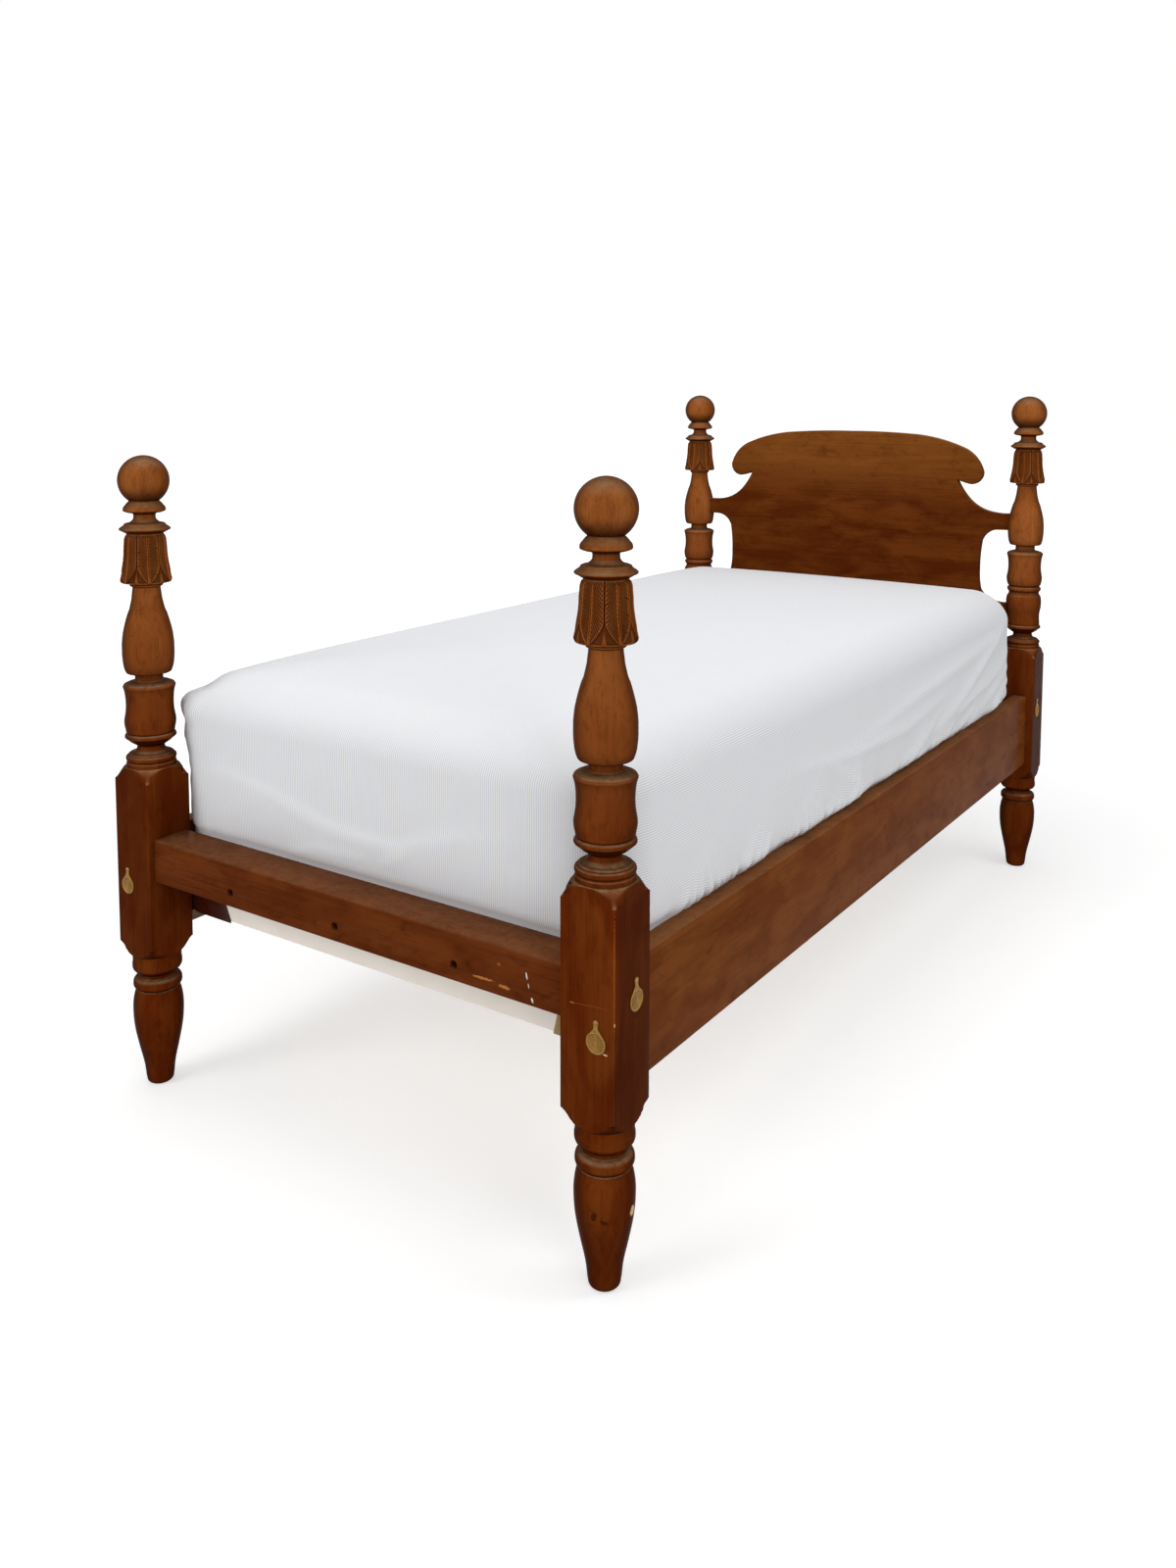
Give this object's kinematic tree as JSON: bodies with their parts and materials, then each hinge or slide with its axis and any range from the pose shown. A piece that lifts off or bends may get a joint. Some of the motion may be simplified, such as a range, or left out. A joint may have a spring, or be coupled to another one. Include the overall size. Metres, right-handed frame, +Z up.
{
  "type": "rope bed",
  "caption": "Single bed on ball-topped turned posts with leaf-carved collars, a shaped headboard, bolted rails behind swinging brass bolt covers, a box spring and a sheeted mattress.",
  "frame": {"origin": "centre of the overall box on the floor, midway between the four posts", "axes": "+X across the bed to the right seen from the foot, +Y from the foot to the head, +Z up"},
  "size_m": [1.0994, 2.1374, 1.2771],
  "materials": {
    "walnut": "oiled and waxed, worn arrises",
    "dark_walnut": "oiled and waxed, darker",
    "aged_brass": "cast, rubbed bright on the relief",
    "iron": "black, forged",
    "pine": "sawn and planed, bare",
    "spring_cover": "plain cream cover cloth",
    "guard_plastic": "moulded, glossy dark brown",
    "mattress_ticking": "quilted ticking",
    "sheet_cotton": "cotton percale with a fine pale blue stripe"
  },
  "bodies": {
    "bedstead": {"post_foot_left": "walnut", "post_foot_right": "walnut", "post_head_left": "walnut", "post_head_right": "walnut", "side_rail_left": "walnut", "side_rail_right": "walnut", "foot_rail": "dark_walnut", "head_rail": "dark_walnut", "headboard": "walnut", "bed_bolts": "iron", "bolt_nuts": "iron", "cover_pins": "aged_brass", "ledger_left": "pine", "ledger_right": "pine", "ledger_screws": "iron", "slat_1": "pine", "slat_2": "pine", "slat_3": "pine", "slat_4": "pine", "slat_5": "pine", "box_spring": "spring_cover", "guard_foot_left": "guard_plastic", "guard_foot_right": "guard_plastic", "guard_head_left": "guard_plastic", "guard_head_right": "guard_plastic", "mattress": "mattress_ticking", "fitted_sheet": "sheet_cotton"},
    "cover_foot_left_end": {"cover_foot_left_end": "aged_brass"},
    "cover_foot_left_side": {"cover_foot_left_side": "aged_brass"},
    "cover_foot_right_end": {"cover_foot_right_end": "aged_brass"},
    "cover_foot_right_side": {"cover_foot_right_side": "aged_brass"},
    "cover_head_left_end": {"cover_head_left_end": "aged_brass"},
    "cover_head_left_side": {"cover_head_left_side": "aged_brass"},
    "cover_head_right_end": {"cover_head_right_end": "aged_brass"},
    "cover_head_right_side": {"cover_head_right_side": "aged_brass"}
  },
  "joints": [
    {"name": "cover_foot_left_end_swing", "type": "hinge", "parent": "bedstead", "child": "cover_foot_left_end", "pos_m": [-0.5471, -1.01, 0.4645], "axis": [-1, 0, 0], "continuous": true},
    {"name": "cover_foot_left_side_swing", "type": "hinge", "parent": "bedstead", "child": "cover_foot_left_side", "pos_m": [-0.516, -1.0661, 0.4155], "axis": [0, -1, 0], "continuous": true},
    {"name": "cover_foot_right_end_swing", "type": "hinge", "parent": "bedstead", "child": "cover_foot_right_end", "pos_m": [0.5471, -1.01, 0.4645], "axis": [1, 0, 0], "continuous": true},
    {"name": "cover_foot_right_side_swing", "type": "hinge", "parent": "bedstead", "child": "cover_foot_right_side", "pos_m": [0.516, -1.0661, 0.4155], "axis": [0, -1, 0], "continuous": true},
    {"name": "cover_head_left_end_swing", "type": "hinge", "parent": "bedstead", "child": "cover_head_left_end", "pos_m": [-0.5471, 1.01, 0.4645], "axis": [-1, 0, 0], "continuous": true},
    {"name": "cover_head_left_side_swing", "type": "hinge", "parent": "bedstead", "child": "cover_head_left_side", "pos_m": [-0.516, 1.0661, 0.4155], "axis": [0, 1, 0], "continuous": true},
    {"name": "cover_head_right_end_swing", "type": "hinge", "parent": "bedstead", "child": "cover_head_right_end", "pos_m": [0.5471, 1.01, 0.4645], "axis": [1, 0, 0], "continuous": true},
    {"name": "cover_head_right_side_swing", "type": "hinge", "parent": "bedstead", "child": "cover_head_right_side", "pos_m": [0.516, 1.0661, 0.4155], "axis": [0, 1, 0], "continuous": true}
  ]
}
